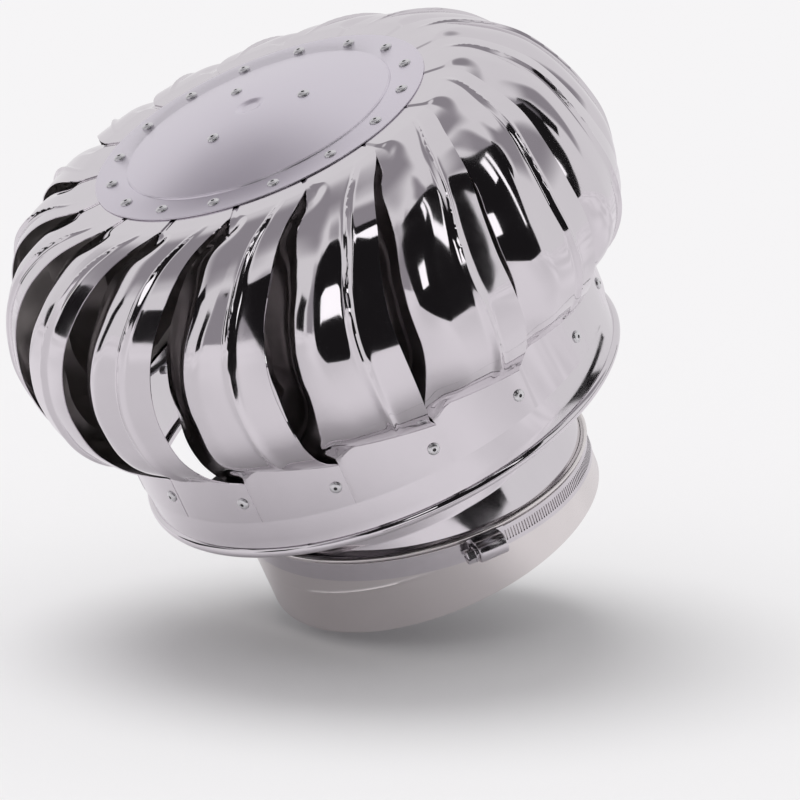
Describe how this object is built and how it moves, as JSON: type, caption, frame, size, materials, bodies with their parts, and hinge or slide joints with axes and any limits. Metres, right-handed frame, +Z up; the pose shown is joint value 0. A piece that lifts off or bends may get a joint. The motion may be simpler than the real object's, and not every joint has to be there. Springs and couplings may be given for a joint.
{
  "type": "roof turbine ventilator",
  "caption": "Wind-driven roof turbine ventilator: a globe of ribbed, riveted steel blades turning on a spindle over a round throat with a clamped collar.",
  "frame": {"origin": "centre of the collar's lower rim, on the spindle axis", "axes": "+Z up along the spindle axis; the worm clamp's screw is on the -Y side, a little towards +X"},
  "size_m": [0.3912, 0.3912, 0.3123],
  "materials": {
    "polished_steel": "polished",
    "brushed_steel": "satin",
    "clamp_steel": "satin",
    "rivet_metal": "satin",
    "zinc_steel": "galvanised",
    "bearing_steel": "ground",
    "seal_rubber": "matt"
  },
  "bodies": {
    "base": {"throat": "brushed_steel", "collar": "brushed_steel", "clamp_band": "clamp_steel", "clamp_housing": "clamp_steel", "throat_bracket": "zinc_steel", "bracket_rivets": "rivet_metal", "spindle": "bearing_steel", "spindle_washers": "zinc_steel", "spindle_nuts": "zinc_steel", "upper_inner_race": "bearing_steel", "lower_inner_race": "bearing_steel", "spindle_ring": "bearing_steel"},
    "rotor": {"top_cap": "polished_steel", "cap_rivets": "rivet_metal", "hub_rivets": "rivet_metal", "blade_01": "polished_steel", "blade_02": "polished_steel", "blade_03": "polished_steel", "blade_04": "polished_steel", "blade_05": "polished_steel", "blade_06": "polished_steel", "blade_07": "polished_steel", "blade_08": "polished_steel", "blade_09": "polished_steel", "blade_10": "polished_steel", "blade_11": "polished_steel", "blade_12": "polished_steel", "blade_13": "polished_steel", "blade_14": "polished_steel", "blade_15": "polished_steel", "blade_16": "polished_steel", "rotor_ring": "polished_steel", "ring_rivets": "rivet_metal", "arm_rivets": "rivet_metal", "rotor_spider": "zinc_steel", "upper_bearing_housing": "zinc_steel", "lower_bearing_housing": "zinc_steel", "housing_screws": "zinc_steel", "housing_nuts": "zinc_steel", "upper_outer_race": "bearing_steel", "lower_outer_race": "bearing_steel", "upper_seals": "seal_rubber", "lower_seals": "seal_rubber", "upper_housing_ring": "bearing_steel", "lower_housing_ring": "bearing_steel"},
    "screw": {"clamp_screw": "clamp_steel"}
  },
  "joints": [
    {"name": "rotor_spin", "type": "hinge", "parent": "base", "child": "rotor", "pos_m": [0, 0, 0.2], "axis": [0, 0, 1], "continuous": true},
    {"name": "screw_turn", "type": "hinge", "parent": "base", "child": "screw", "pos_m": [0.02651, -0.11575, 0.03389], "axis": [0.9653, 0.2211, -0.1391], "continuous": true}
  ]
}
